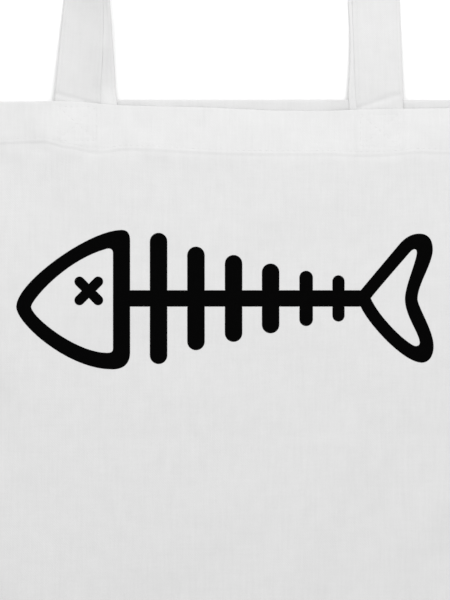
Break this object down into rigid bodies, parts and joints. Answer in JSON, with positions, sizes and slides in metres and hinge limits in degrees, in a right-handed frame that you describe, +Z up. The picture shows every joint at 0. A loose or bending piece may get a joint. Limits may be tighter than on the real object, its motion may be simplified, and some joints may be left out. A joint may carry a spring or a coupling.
{
  "type": "cotton tote bag with a fishbone print",
  "caption": "Flat cotton tote bag lying on its back, tape handles laid out beyond the mouth, fishbone pictogram printed on the front.",
  "frame": {"origin": "middle of the footprint of bag and handles, on the surface the bag lies on", "axes": "+X across the bag to the right of someone reading the print, +Y from the bag's bottom towards the handles, +Z up out of the printed front"},
  "size_m": [0.38, 0.695, 0.0253],
  "materials": {
    "bag_cotton": "matt plain-weave cotton",
    "handle_cotton": "matt folded cotton tape, stitched along both edges",
    "print_ink": "matt screen print"
  },
  "bodies": {
    "root": {"back_panel": "bag_cotton", "back_hem": "bag_cotton", "front_panel": "bag_cotton", "front_border_left": "bag_cotton", "front_border_right": "bag_cotton", "front_border_bottom": "bag_cotton", "front_hem": "bag_cotton", "side_seam_left": "bag_cotton", "side_seam_right": "bag_cotton", "bottom_seam": "bag_cotton", "back_handle": "handle_cotton", "front_handle": "handle_cotton", "print_head": "print_ink", "print_eye": "print_ink", "print_bones": "print_ink", "print_tail": "print_ink"}
  },
  "joints": []
}
